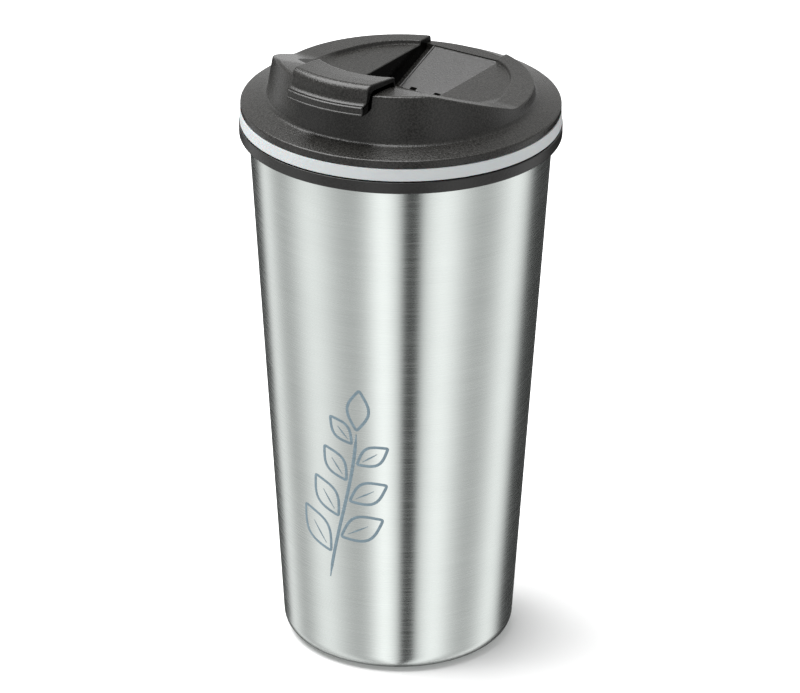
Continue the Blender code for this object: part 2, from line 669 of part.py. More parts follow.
def build():
    clear_scene()
    brushed = make_material("brushed_steel", (0.62, 0.64, 0.63), 0.32, 1.0)
    plain_steel = make_material("plain_steel", (0.55, 0.56, 0.56), 0.4, 1.0)
    dark = make_material("dark_plastic", (0.052, 0.05, 0.046), 0.55, 0.0)
    light = make_material("light_silicone", (0.62, 0.66, 0.69), 0.6, 0.0)
    clear = make_material("seal_silicone", (0.5, 0.5, 0.48), 0.6, 0.0)
    glass = make_material("seal_glass", (0.25, 0.27, 0.28), 0.2, 0.0)
    outer_shell(brushed)
    inner_vessel(plain_steel)
    outer_bottom(plain_steel)
    bottom_cover(brushed)
    vacuum_seal_bead(glass)
    getter_capsule(plain_steel)
    neck_collar(dark)
    collar_gasket(clear)
    lid_seal_ring(light)
    lid_shell(dark)
    channel_insert(dark)
    hinge_pin(plain_steel)
    lid_plug(dark)
    duct_gasket(clear)
    moving = bpy.data.objects.new("flap_axis", None)
    moving.location = Vector((0, HINGE_Y, HINGE_Z))
    bpy.context.scene.collection.objects.link(moving)
    for piece in (flap(dark), sip_stopper(clear), vent_stopper(clear)):
        piece.parent = moving
        piece.matrix_parent_inverse = Matrix.Translation(moving.location).inverted()


build()
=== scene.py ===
"""Looks of the insulated travel mug: brushed steel cup, grained plastic lid and tab, pale seal band.

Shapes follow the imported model's frame: metres, +Z up, -Y the drinking side. Profiles are written in
millimetres and become metres where skin(), prism() and sprig_print() make their vertices.
"""

import math

import bmesh
import bpy
import numpy as np
from mathutils import Matrix, Vector


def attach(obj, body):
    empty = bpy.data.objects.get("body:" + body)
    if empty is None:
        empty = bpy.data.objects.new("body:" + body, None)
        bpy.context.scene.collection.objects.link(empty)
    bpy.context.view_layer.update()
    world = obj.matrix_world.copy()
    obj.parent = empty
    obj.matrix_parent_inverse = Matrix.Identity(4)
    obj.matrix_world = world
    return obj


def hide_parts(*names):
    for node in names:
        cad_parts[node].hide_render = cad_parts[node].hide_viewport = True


MM = 0.001

# Fineness of the meshes.
TURN_STEPS = 240
LID_STEPS = 360
CORNER_STEPS = 4
ROUND_STEPS = 48
SECTOR_STEPS = 16
CHANNEL_ARC_STEPS = 61
THREAD_ROW = 0.25

# Mesh clean-up, in metres, and the angles that count as an edge.
MERGE_DISTANCE = 2e-7
DEGENERATE_DISTANCE = 1e-7
SHARP_ANGLE = math.radians(38)
BEVEL_ANGLE = math.radians(35)

# Cup, in millimetres.
STEEL = 0.6
FOOT_CONE_R = 33.0
CONE_SLOPE = 0.0625
SHELL_TOP_Z = 155.4
FOOT_FILLET = 5.0
FOOT_OPENING_R = 25.0
VESSEL_RIM_Z = 156.3
NECK_R = 39.4
NECK_BOTTOM_Z = 141.0
VACUUM_GAP = 3.0
VESSEL_FLOOR_Z = 9.5
VESSEL_CORNER = 6.0
SHELL_ROW = 6.0
DISC_BOTTOM_Z = 0.4
DISC_THICKNESS = 0.7
COLLAR_R = 45.4
COLLAR_BOTTOM_Z = 154.7
COLLAR_TOP_Z = 158.05
COLLAR_LIP_Z = 157.0
GAP = 0.3

# Lid, in millimetres.
SEAL_R = 45.2
SEAL_BOTTOM_Z = 158.35
SEAL_TOP_Z = 161.95
FLANGE_R = 45.0
FLANGE_BOTTOM_Z = 162.25
FLANGE_EDGE_Z = 164.2
WALL_FOOT_R = 37.7
WALL_FOOT_Z = 166.0
WALL_DRAFT = 0.17
CROWN_Z = 179.3
RIM_Z = 169.3
PANEL_Z = 168.2
PANEL_UNDER_Z = 166.2
RAMP_SLOPE = 0.38
RAMP_FOOT_Y = 1.2
BAND_INNER_R = 26.7
SHOULDER_INNER_R = 29.7
CRESCENT_INNER_R = 32.5
STEP_NARROWEST = 0.45
STEP_WIDENING = 5.05
STEP_LEAD = 0.4
STEP_ROWS = 7
STEP_SHARE = 0.09
STEP_CURVE = 1.5
PANEL_RING_R = 11.0
RAMP_CORNER = 0.8
BAND_MIDDLE_R = 36.0
BAND_THICKNESS = 1.8
BAND_EDGE = 0.55
CROWN_EXTRA_EDGE = 0.4
WALL_BREAK_Z = 168.5
WALL_FOOT_FILLET = 2.0
EDGE_SPLIT_FROM_Z = 166.5
EDGE_FALL_FROM_Z = 166.9
EDGE_SHARES = (0.0, 0.08, 0.3, 0.6, 1.0)
EDGE_FADE = 0.8
SLOPE_BLOCK_BACK_Z = 163.4
HOLLOW_R = 34.0
CHANNEL_HALF = 12.7
CHANNEL_FLOOR_Z = 158.0
CHANNEL_WALL = 1.2
CHANNEL_EDGE = 0.35
RAMP_BACK_Y = 32.6
RAMP_FRONT_Y = 12.6
BACK_STRIP_Z = 167.5
INSERT_SLOPE = 0.36
INSERT_LEFT = -10.3
INSERT_RIGHT = 12.4
INSERT_THICKNESS = 1.5
INSERT_EDGE = 0.45
BEAD_R = 0.4
BEAD_STEPS = 13
BEAD_IN = 0.55
BEAD_SINK = 0.1
BEAD_END = 0.4
NOTCH_MIDDLES = (-5.6, 2.4)
NOTCH_HALF = 1.0
NOTCH_LENGTH = 2.6
HINGE_Y = 9.0
HINGE_Z = 161.0
PIN_R = 1.25
PIN_PLAY = 0.25
BARREL_R = 2.3
BARREL_HALF = 8.4
POST_HALF = 2.6
POST_SINK = 0.4
TAB_HALF = 12.4
TAB_TOP_Z = 182.65
TAB_BACK_Z = 181.1
TAB_BEND_R = 35.7
TAB_BEND = 2.45
HOOK_BOTTOM_Z = 174.8
RIB_R = 40.5
RIB_Z = 177.35
ARM_HALF = 7.5
APRON_R = 38.3
LIP_R = 25.0
LIP_INNER_R = 26.2
LIP_BOTTOM_Z = 177.6
TAB_RIM = 0.3
ARM_FRONT_Y = -23.4
ARM_BOTTOM_Z = 159.6
BOSS_MARGIN = 0.6
BOSS_HEIGHT = 2.0
BOSS_EXTRA_ANGLE = math.radians(1.5)
STOPPER_DEPTH = 3.0

# Plug and threads, in millimetres.
PLUG_R = 37.3
PLUG_WALL = 1.6
PLUG_BOTTOM_Z = 143.0
PLUG_FLANGE_R = 38.7
THREAD_LEAD = 10.0
THREAD_STARTS = 2
THREAD_SWEEP = math.radians(150)
THREAD_WIDTH = 1.6
THREAD_DEPTH_CUP = 1.0
THREAD_DEPTH_PLUG = 1.6
THREAD_RUN_OUT = math.radians(12)
THREAD_CREST = 0.45
THREAD_FLANK = 0.55
CUP_THREAD_Z = 149.5
DUCT_INNER_R = 29.0
DUCT_OUTER_R = 32.8
DUCT_WALL = 0.8
DUCT_HALF_ANGLE = math.radians(15)
DUCT_TOP_Z = 164.5
SIP_HALF_ANGLE = math.radians(11)
SIP_OUTER_R = 32.6
VENT_Y = -12.0
VENT_R = 1.5
VENT_TUBE_TOP_Z = 156.3
PLUG_FLOOR = 1.8

# Heights between which cutting bodies reach, and how far back the long cut goes.
SIP_CUT_Z = (172.0, 184.0)
VENT_CUT_Z = (150.0, 164.0)
NOTCH_CUT_Z = (150.0, 175.0)
TUBE_CUT_TOP_Z = 160.0
CUT_BACK_Y = 50.0


# ---------------------------------------------------------------- mesh helpers


def smooth(t):
    t = min(1.0, max(0.0, t))
    return t * t * (3 - 2 * t)


def soften(corners, steps=CORNER_STEPS):
    """An outline whose corners (a, b, radius) become short arcs; radius 0 keeps the bare point."""
    points = []
    count = len(corners)
    for i, (a, b, radius) in enumerate(corners):
        here = Vector((a, b))
        if radius == 0:
            points.append(here)
            continue
        back = Vector(corners[i - 1][:2]) - here
        ahead = Vector(corners[(i + 1) % count][:2]) - here
        half = back.angle(ahead) / 2
        reach = min(radius / math.tan(half), 0.45 * back.length, 0.45 * ahead.length)
        start = here + back.normalized() * reach
        end = here + ahead.normalized() * reach
        for k in range(steps + 1):
            t = k / steps
            points.append(start * (1 - t) ** 2 + here * (2 * t * (1 - t)) + end * t**2)
    return [(p.x, p.y) for p in points]


def bend(centre, radius, start_deg, end_deg, steps):
    """Points of an arc as corners of radius 0."""
    angles = [math.radians(start_deg + (end_deg - start_deg) * i / steps) for i in range(steps + 1)]
    return [(centre[0] + radius * math.cos(a), centre[1] + radius * math.sin(a), 0) for a in angles]


def make_object(name, bm):
    """Clean the mesh, face it outwards, and shade it smooth between sharp edges."""
    bmesh.ops.remove_doubles(bm, verts=bm.verts, dist=MERGE_DISTANCE)
    bmesh.ops.dissolve_degenerate(bm, edges=bm.edges, dist=DEGENERATE_DISTANCE)
    bmesh.ops.recalc_face_normals(bm, faces=bm.faces)
    mesh = bpy.data.meshes.new(name)
    bm.to_mesh(mesh)
    bm.free()
    mesh.shade_smooth()
    mesh.set_sharp_from_angle(angle=SHARP_ANGLE)
    obj = bpy.data.objects.new(name, mesh)
    bpy.context.scene.collection.objects.link(obj)
    return obj


def skin(name, rows, wrap_rows=False, wrap_columns=True, caps=False):
    """A skin over rows of millimetre points with equal counts."""
    bm = bmesh.new()
    verts = [[bm.verts.new(Vector(point) * MM) for point in row] for row in rows]
    pairs = list(zip(verts, verts[1:]))
    if wrap_rows:
        pairs.append((verts[-1], verts[0]))
    count = len(rows[0])
    for a, b in pairs:
        for i in range(count if wrap_columns else count - 1):
            j = (i + 1) % count
            bm.faces.new((a[i], a[j], b[j], b[i]))
    if caps:
        bm.faces.new(verts[0])
        bm.faces.new(verts[-1])
    return make_object(name, bm)


def turned(name, profile, closed=True, relief=None, steps=TURN_STEPS):
    """Turn an (r, z) outline round the Z axis; relief(angle, r, z) adds to the radius."""
    rows = []
    for i in range(steps):
        angle = 2 * math.pi * i / steps
        row = []
        for r, z in profile:
            reach = r + (relief(angle, r, z) if relief else 0.0)
            row.append((reach * math.cos(angle), reach * math.sin(angle), z))
        rows.append(row)
    return skin(name, rows, wrap_rows=True, wrap_columns=closed)


def prism(name, outline, lift):
    """Extrude a closed outline of millimetre points along a vector."""
    bm = bmesh.new()
    base = bm.faces.new([bm.verts.new(Vector(point) * MM) for point in outline])
    extruded = bmesh.ops.extrude_face_region(bm, geom=[base])
    moved = [g for g in extruded["geom"] if isinstance(g, bmesh.types.BMVert)]
    bmesh.ops.translate(bm, verts=moved, vec=Vector(lift) * MM)
    return make_object(name, bm)


def side_prism(name, outline, half_width):
    """A prism across the lid from a (y, z) outline."""
    return prism(name, [(-half_width, y, z) for y, z in outline], (2 * half_width, 0, 0))


def plan_prism(name, outline, low, high):
    """A vertical prism from an (x, y) outline."""
    return prism(name, [(x, y, low) for x, y in outline], (0, 0, high - low))


def rod(name, radius, half_length, y, z, edge=0.0):
    """A rod along X with rounded ends."""
    corners = [(0.0, -half_length, 0), (radius, -half_length, edge)]
    corners += [(radius, half_length, edge), (0.0, half_length, 0)]
    obj = turned(name, soften(corners), closed=False, steps=ROUND_STEPS)
    turn = Matrix.Translation(Vector((0, y, z)) * MM) @ Matrix.Rotation(math.pi / 2, 4, "Y")
    obj.data.transform(turn)
    return obj


def upright(name, radius, y, low, high, edge=0.0):
    """An upright round post on the lid's centre plane."""
    corners = [(0.0, low, 0), (radius, low, edge), (radius, high, edge), (0.0, high, 0)]
    obj = turned(name, soften(corners), closed=False, steps=ROUND_STEPS)
    obj.data.transform(Matrix.Translation(Vector((0, y, 0)) * MM))
    return obj


def apply_modifiers(obj):
    """Turn an object's modifiers into its mesh."""
    bpy.context.view_layer.update()
    graph = bpy.context.evaluated_depsgraph_get()
    mesh = bpy.data.meshes.new_from_object(obj.evaluated_get(graph))
    obj.modifiers.clear()
    obj.data = mesh


def combine(obj, operation, tools):
    """Join or cut with other closed meshes, which are used up."""
    for tool in tools:
        modifier = obj.modifiers.new(tool.name, "BOOLEAN")
        modifier.operation = operation
        modifier.solver = "EXACT"
        modifier.object = tool
    apply_modifiers(obj)
    for tool in tools:
        bpy.data.objects.remove(tool, do_unlink=True)


def ease_edges(obj, width, segments=2):
    """Round the sharp edges of a simple piece."""
    modifier = obj.modifiers.new("edges", "BEVEL")
    modifier.width = width * MM
    modifier.segments = segments
    modifier.limit_method = "ANGLE"
    modifier.angle_limit = BEVEL_ANGLE
    modifier.use_clamp_overlap = True
    apply_modifiers(obj)


def settle_shading(obj):
    """Smooth shading that keeps flat faces flat beside narrow rounded edges."""
    obj.data.shade_smooth()
    obj.data.set_sharp_from_angle(angle=SHARP_ANGLE)
    modifier = obj.modifiers.new("even_normals", "WEIGHTED_NORMAL")
    modifier.keep_sharp = True
    modifier.weight = 50


def arc_angles(half_angle, steps):
    """Evenly spaced angles either side of the drinking side."""
    return [-math.pi / 2 - half_angle + 2 * half_angle * i / steps for i in range(steps + 1)]


def sector(inner, outer, half_angle):
    """Plan outline of a ring sector centred on the drinking side."""
    angles = arc_angles(half_angle, SECTOR_STEPS)
    far = [(outer * math.cos(a), outer * math.sin(a)) for a in angles]
    near = [(inner * math.cos(a), inner * math.sin(a)) for a in reversed(angles)]
    return far + near


# ---------------------------------------------------------------- cup


def cone_r(z):
    return FOOT_CONE_R + CONE_SLOPE * z


def thread(root_sign, depth, middle_z, seat_r):
    """Relief of a two-start thread on the cylinder of radius seat_r; root_sign -1 stands inwards."""

    def relief(angle, r, z):
        if abs(r - seat_r) > 0.01:
            return 0.0
        tallest = 0.0
        for start in range(THREAD_STARTS):
            middle = 2 * math.pi * start / THREAD_STARTS
            turn = (angle - middle + math.pi) % (2 * math.pi) - math.pi
            if abs(turn) > THREAD_SWEEP / 2:
                continue
            end_fade = smooth((THREAD_SWEEP / 2 - abs(turn)) / THREAD_RUN_OUT)
            ridge_z = middle_z + THREAD_LEAD * turn / (2 * math.pi)
            away = abs(z - ridge_z) / (THREAD_WIDTH / 2)
            flank = smooth((away - THREAD_CREST) / THREAD_FLANK)
            tallest = max(tallest, depth * end_fade * (1 - flank))
        return root_sign * tallest

    return relief


def dense(low, high, step):
    """Evenly spaced heights, ends included."""
    count = max(1, round(abs(high - low) / step))
    return [low + (high - low) * i / count for i in range(count + 1)]


def steel_body():
    """Outer wall with its rounded foot, turned in to the resting ring."""
    centre = (cone_r(FOOT_FILLET) - FOOT_FILLET, FOOT_FILLET)
    corners = [(cone_r(z), z, 0) for z in dense(SHELL_TOP_Z, FOOT_FILLET + 0.5, SHELL_ROW)]
    corners += bend(centre, FOOT_FILLET, 0, -90, 12)
    corners += [(FOOT_OPENING_R, 0.0, 0.15), (FOOT_OPENING_R, STEEL, 0.15)]
    corners += bend(centre, FOOT_FILLET - STEEL, -90, 0, 10)
    corners += [(cone_r(SHELL_TOP_Z) - STEEL, SHELL_TOP_Z, 0)]
    return turned("steel_body", soften(corners, 2))


def vessel_r(z):
    return cone_r(z) - 2 * STEEL - VACUUM_GAP


def drinking_vessel():
    """Inner cup: rounded floor corner, coned wall, threaded straight neck, rolled rim."""
    lip_r = cone_r(VESSEL_RIM_Z) - 0.1
    shoulder_z = NECK_BOTTOM_Z - 2.0
    corner = (vessel_r(VESSEL_FLOOR_Z + VESSEL_CORNER) - VESSEL_CORNER, VESSEL_FLOOR_Z + VESSEL_CORNER)
    outside = [(0.0, VESSEL_FLOOR_Z - STEEL, 0)] + bend(corner, VESSEL_CORNER + STEEL, -90, 0, 8)
    outside += [(vessel_r(shoulder_z) + STEEL, shoulder_z, 0.4), (NECK_R + STEEL, NECK_BOTTOM_Z, 0.4)]
    outside += [(NECK_R + STEEL, VESSEL_RIM_Z - STEEL, 0.2), (lip_r, VESSEL_RIM_Z - STEEL, 0.1)]
    inside = [(lip_r, VESSEL_RIM_Z, 0.2), (NECK_R, VESSEL_RIM_Z, 0.5)]
    inside += [(NECK_R, z, 0) for z in dense(VESSEL_RIM_Z - 0.9, NECK_BOTTOM_Z + 0.6, THREAD_ROW)]
    inside += [(NECK_R, NECK_BOTTOM_Z, 0.4), (vessel_r(shoulder_z), shoulder_z, 0.8)]
    inside += bend(corner, VESSEL_CORNER, 0, -90, 8) + [(0.0, VESSEL_FLOOR_Z, 0)]
    relief = thread(-1, THREAD_DEPTH_CUP, CUP_THREAD_Z, NECK_R)
    return turned("drinking_vessel", soften(outside + inside, 3), closed=False, relief=relief)


def foot_disc():
    """Cap disc set into the foot ring."""
    radius = FOOT_OPENING_R - GAP
    low = DISC_BOTTOM_Z
    high = low + DISC_THICKNESS
    corners = [(0.0, low, 0), (radius - 0.3, low, 0.3), (radius, low + 0.3, 0.2), (radius, high, 0.1)]
    corners += [(radius - 2.0, high, 0.2), (0.0, high, 0)]
    return turned("foot_disc", soften(corners), closed=False)


def neck_ring():
    """Plastic collar over the steel neck."""
    bore = cone_r(COLLAR_TOP_Z) + GAP
    lip_r = NECK_R + STEEL
    corners = [(COLLAR_R, COLLAR_TOP_Z, 0.25), (COLLAR_R, COLLAR_BOTTOM_Z, 0.45)]
    corners += [(bore, COLLAR_BOTTOM_Z, 0.15), (bore, COLLAR_LIP_Z, 0)]
    corners += [(lip_r, COLLAR_LIP_Z, 0.1), (lip_r, COLLAR_TOP_Z, 0.25)]
    return turned("neck_ring", soften(corners))


# ---------------------------------------------------------------- lid


def wall_r(z):
    return WALL_FOOT_R - WALL_DRAFT * (z - WALL_FOOT_Z)


def seal_band():
    """Pale silicone band with its thinner sealing lip."""
    lip_r = PLUG_FLANGE_R - 0.7
    lip_z = SEAL_BOTTOM_Z + 1.2
    step_r = PLUG_FLANGE_R + GAP
    corners = [(SEAL_R - 0.2, SEAL_TOP_Z, 0.3), (SEAL_R, SEAL_BOTTOM_Z, 0.35), (lip_r, SEAL_BOTTOM_Z, 0.3)]
    corners += [(lip_r, lip_z, 0.3), (step_r, lip_z, 0.1), (step_r, SEAL_TOP_Z, 0.1)]
    return turned("seal_band", soften(corners))


def between_degrees(degrees, start, end):
    """0 up to the start, 1 from the end on, smooth between them."""
    return smooth((degrees - start) / (end - start))


def band_inner(angle):
    """Inner radius of the rim band at an angle from the drinking side."""
    degrees = abs(math.degrees(angle))
    beside = between_degrees(degrees, 48, 74)
    behind = between_degrees(degrees, 108, 154)
    inner = BAND_INNER_R + (SHOULDER_INNER_R - BAND_INNER_R) * beside
    return inner + (CRESCENT_INNER_R - SHOULDER_INNER_R) * behind


def blend_width(angle):
    """How far the band's inner face spreads: steep at the crown, wide beside it, crisp at the back."""
    degrees = abs(math.degrees(angle))
    widen = between_degrees(degrees, 45, 75)
    narrow = 1 - between_degrees(degrees, 92, 110)
    return STEP_NARROWEST + STEP_WIDENING * widen * narrow


def band_top(y):
    """Side view of the rim band: flat crown, straight ramp, low rim, with rounded joints between."""
    ramp = RIM_Z + RAMP_SLOPE * (RAMP_FOOT_Y - y)
    near = max(0.0, RAMP_CORNER - abs(ramp - CROWN_Z))
    foot = max(0.0, RAMP_CORNER - abs(ramp - RIM_Z))
    rounded = max(RIM_Z, min(ramp, CROWN_Z) - near * near / (4 * RAMP_CORNER))
    return rounded + foot * foot / (4 * RAMP_CORNER)


def lid_section(angle):
    """Section of the lid shell at an angle from the drinking side: out over the top, back underneath."""
    inner = band_inner(angle)
    width = blend_width(angle)
    top = band_top(-BAND_MIDDLE_R * math.cos(angle))
    top_inner = band_top(-inner * math.cos(angle))
    high = smooth((top - RIM_Z) / (CROWN_Z - RIM_Z))
    corners = [(0.0, PANEL_Z, 0), (PANEL_RING_R, PANEL_Z, 0), (inner - width - STEP_LEAD, PANEL_Z, 0)]
    for i in range(STEP_ROWS):
        t = STEP_SHARE * i
        corners.append((inner - width * (1 - t), PANEL_Z + (top_inner - PANEL_Z) * t**STEP_CURVE, 0))
    corners += [(inner, top_inner, BAND_EDGE), (wall_r(top), top, BAND_EDGE + CROWN_EXTRA_EDGE * high)]
    corners += [(wall_r(WALL_BREAK_Z), WALL_BREAK_Z, 0), (WALL_FOOT_R, WALL_FOOT_Z, WALL_FOOT_FILLET)]
    corners += [(FLANGE_R, FLANGE_EDGE_Z, 0.65), (FLANGE_R, FLANGE_BOTTOM_Z, 0.15)]
    roof = max(PANEL_UNDER_Z, top_inner - BAND_THICKNESS)
    hollow_inner = min(inner + CHANNEL_WALL, HOLLOW_R)
    if roof < PANEL_Z:
        roof = PANEL_UNDER_Z
        hollow_inner = HOLLOW_R
    corners += [(HOLLOW_R, FLANGE_BOTTOM_Z, 0), (HOLLOW_R, roof, 0), (hollow_inner, roof, 0)]
    corners += [(hollow_inner, PANEL_UNDER_Z, 0), (0.0, PANEL_UNDER_Z, 0)]
    return soften(corners)


def round_channel_edges(shell):
    """Let the top surface fall away along the channel's sides, so that the cut leaves rounded edges."""
    bm = bmesh.new()
    bm.from_mesh(shell.data)
    front_y = -math.sqrt(BAND_INNER_R**2 - CHANNEL_HALF**2)
    for side in (-1, 1):
        for share in EDGE_SHARES:
            faces = [
                f
                for f in bm.faces
                if f.normal.z > 0.2
                and f.calc_center_median().z > EDGE_SPLIT_FROM_Z * MM
                and f.calc_center_median().y > (front_y - 1.0) * MM
            ]
            geometry = {g for f in faces for g in (*f.verts, *f.edges)} | set(faces)
            at = Vector((side * (CHANNEL_HALF + CHANNEL_EDGE * share), 0, 0)) * MM
            bmesh.ops.bisect_plane(bm, geom=list(geometry), dist=2e-6, plane_co=at, plane_no=(1, 0, 0))
    for v in bm.verts:
        away = abs(v.co.x) / MM - CHANNEL_HALF
        if v.co.z < EDGE_FALL_FROM_Z * MM or away > CHANNEL_EDGE or v.co.y < front_y * MM:
            continue
        depth = CHANNEL_EDGE - math.sqrt(max(0.0, CHANNEL_EDGE**2 - (CHANNEL_EDGE - max(away, 0.0)) ** 2))
        v.co.z -= depth * MM * smooth((v.co.y / MM - front_y) / EDGE_FADE)
    bm.to_mesh(shell.data)
    bm.free()


def insert_top(y):
    """Height of the sloped panel behind the hinge."""
    return BACK_STRIP_Z - INSERT_SLOPE * (RAMP_BACK_Y - y)


def channel_outline(radius, half, back):
    """Plan outline of the channel: an arc towards the crown, straight sides, a flat back."""
    angles = arc_angles(math.asin(half / radius), CHANNEL_ARC_STEPS)
    return [(radius * math.cos(a), radius * math.sin(a)) for a in angles] + [(half, back), (-half, back)]


def lid_top():
    """Flange, wall, crown, crescents and panels as one skin; then the channel, posts and holes."""
    rows = []
    for i in range(LID_STEPS):
        angle = 2 * math.pi * i / LID_STEPS
        signed = angle if angle <= math.pi else angle - 2 * math.pi
        heading = angle - math.pi / 2
        rows.append([(r * math.cos(heading), r * math.sin(heading), z) for r, z in lid_section(signed)])
    shell = skin("lid_top", rows, wrap_rows=True, wrap_columns=False)
    round_channel_edges(shell)
    under = CHANNEL_FLOOR_Z - CHANNEL_WALL
    block_half = CHANNEL_HALF + CHANNEL_WALL
    block_top = PANEL_Z - 1.0
    back_y = RAMP_BACK_Y + 1.6
    trough = channel_outline(BAND_INNER_R + CHANNEL_WALL - 0.2, block_half, RAMP_FRONT_Y + 1.0)
    slope = [(RAMP_FRONT_Y - 1.0, under), (RAMP_FRONT_Y + 2.0, under), (back_y, SLOPE_BLOCK_BACK_Z)]
    slope += [(back_y, block_top), (RAMP_FRONT_Y - 1.0, block_top)]
    blocks = [plan_prism("trough_block", trough, under, block_top)]
    blocks.append(side_prism("slope_block", slope, block_half - 0.1))
    combine(shell, "UNION", blocks)
    above = CROWN_Z + 6.0
    cut = channel_outline(BAND_INNER_R, CHANNEL_HALF, RAMP_FRONT_Y + 0.5)
    seat_y = RAMP_BACK_Y + GAP
    drop = INSERT_THICKNESS + GAP
    back = [(RAMP_FRONT_Y, above), (RAMP_FRONT_Y, insert_top(RAMP_FRONT_Y) - drop)]
    back += [(seat_y, insert_top(seat_y) - drop), (seat_y, BACK_STRIP_Z)]
    back += [(CUT_BACK_Y, BACK_STRIP_Z), (CUT_BACK_Y, above)]
    cuts = [plan_prism("trough_cut", cut, CHANNEL_FLOOR_Z, above)]
    cuts.append(side_prism("back_cut", back, CHANNEL_HALF + 0.02))
    cuts.append(plan_prism("sip_cut", sector(DUCT_INNER_R, SIP_OUTER_R, SIP_HALF_ANGLE), *SIP_CUT_Z))
    cuts.append(upright("vent_cut", VENT_R, VENT_Y, *VENT_CUT_Z))
    combine(shell, "DIFFERENCE", cuts)
    posts = []
    width = CHANNEL_HALF + POST_SINK - BARREL_HALF - GAP
    low, high = CHANNEL_FLOOR_Z - POST_SINK, HINGE_Z
    front, back = HINGE_Y - POST_HALF, HINGE_Y + POST_HALF
    for side in (-1, 1):
        x = BARREL_HALF + GAP if side > 0 else -(CHANNEL_HALF + POST_SINK)
        outline = [(x, front, low), (x, back, low), (x, back, high), (x, front, high)]
        posts.append(prism(f"pin_post_{side}", outline, (width, 0, 0)))
    combine(shell, "UNION", posts)
    combine(shell, "DIFFERENCE", [rod("pin_seat", PIN_R + PIN_PLAY, CHANNEL_HALF - 0.5, HINGE_Y, HINGE_Z)])
    return shell


def sloped_insert():
    """Sloped panel behind the hinge: a bead along one edge, fingers over the pin, two drain notches."""
    front = RAMP_FRONT_Y + GAP
    top = [(front, insert_top(front)), (RAMP_BACK_Y, BACK_STRIP_Z)]
    bottom = [(y, z - INSERT_THICKNESS) for y, z in reversed(top)]
    outline = [(INSERT_LEFT, y, z) for y, z in top + bottom]
    insert = prism("sloped_insert", outline, (INSERT_RIGHT - INSERT_LEFT, 0, 0))
    ease_edges(insert, INSERT_EDGE, segments=4)
    bead_y = front + BEAD_END
    bead_x, bead_z = INSERT_LEFT + BEAD_IN, insert_top(bead_y) - BEAD_SINK
    bead = []
    for i in range(BEAD_STEPS):
        angle = 2 * math.pi * i / BEAD_STEPS
        bead.append((bead_x + BEAD_R * math.sin(angle), bead_y, bead_z + BEAD_R * math.cos(angle)))
    run = RAMP_BACK_Y - BEAD_END - bead_y
    combine(insert, "UNION", [prism("edge_bead", bead, (0, run, run * INSERT_SLOPE))])
    low = HINGE_Z + GAP
    finger = [(HINGE_Y - 2.0, low), (HINGE_Y + 2.9, low), (front + 0.2, low - 1.3)]
    finger += [(front + 1.6, low - 1.3), (front + 1.6, low - 0.3)]
    finger += [(HINGE_Y + 1.6, HINGE_Z + 2.0), (HINGE_Y - 2.0, HINGE_Z + 2.0)]
    inner = BARREL_HALF + GAP
    width = CHANNEL_HALF - GAP - inner
    fingers = []
    for side in (-1, 1):
        x = inner if side > 0 else -inner - width
        fingers.append(prism(f"finger_{side}", [(x, y, z) for y, z in finger], (width, 0, 0)))
    combine(insert, "UNION", fingers)
    cuts = [rod("pin_cut", PIN_R + PIN_PLAY, CHANNEL_HALF, HINGE_Y, HINGE_Z)]
    for i, x in enumerate(NOTCH_MIDDLES):
        low, high = x - NOTCH_HALF, x + NOTCH_HALF
        back = front + NOTCH_LENGTH
        notch = [(low, front - 1), (high, front - 1), (high, back), (low, back)]
        cuts.append(plan_prism(f"notch_{i}", notch, *NOTCH_CUT_Z))
    combine(insert, "DIFFERENCE", cuts)
    return insert


def screw_plug():
    """Cup-shaped plug with its thread, sip duct and vent tube."""
    inner = PLUG_R - PLUG_WALL
    floor = PLUG_BOTTOM_Z + PLUG_FLOOR
    corners = [(0.0, floor, 0), (inner, floor, 1.5), (inner, SEAL_TOP_Z, 0.2)]
    corners += [(PLUG_FLANGE_R, SEAL_TOP_Z, 0.2), (PLUG_FLANGE_R, SEAL_TOP_Z - 1.6, 0.2)]
    corners += [(PLUG_R, SEAL_TOP_Z - 2.6, 0.2)]
    corners += [(PLUG_R, z, 0) for z in dense(SEAL_TOP_Z - 3.2, PLUG_BOTTOM_Z + 2.6, THREAD_ROW)]
    corners += [(PLUG_R, PLUG_BOTTOM_Z + 2.0, 0.5), (PLUG_R - 2.0, PLUG_BOTTOM_Z, 0.5)]
    corners += [(0.0, PLUG_BOTTOM_Z, 0)]
    below = THREAD_WIDTH + 0.35
    relief = thread(1, THREAD_DEPTH_PLUG, CUP_THREAD_Z - below, PLUG_R)
    plug = turned("screw_plug", soften(corners, 3), closed=False, relief=relief)
    wall_angle = DUCT_WALL / DUCT_INNER_R
    outer = sector(DUCT_INNER_R - DUCT_WALL, DUCT_OUTER_R + DUCT_WALL, DUCT_HALF_ANGLE + wall_angle)
    tube = upright("vent_tube", VENT_R + 1.2, VENT_Y, floor - 0.5, VENT_TUBE_TOP_Z, edge=0.2)
    combine(plug, "UNION", [plan_prism("duct", outer, floor - 0.5, DUCT_TOP_Z), tube])
    hole = sector(DUCT_INNER_R, DUCT_OUTER_R, DUCT_HALF_ANGLE)
    cuts = [plan_prism("duct_cut", hole, PLUG_BOTTOM_Z - 2, DUCT_TOP_Z + 2)]
    cuts.append(upright("tube_cut", VENT_R, VENT_Y, PLUG_BOTTOM_Z - 2, TUBE_CUT_TOP_Z))
    combine(plug, "DIFFERENCE", cuts)
    return plug


# ---------------------------------------------------------------- tab

# Quarter circle of a rounded rim, from the end face inwards.
RIM_ANGLES = (1.571, 1.05, 0.52)


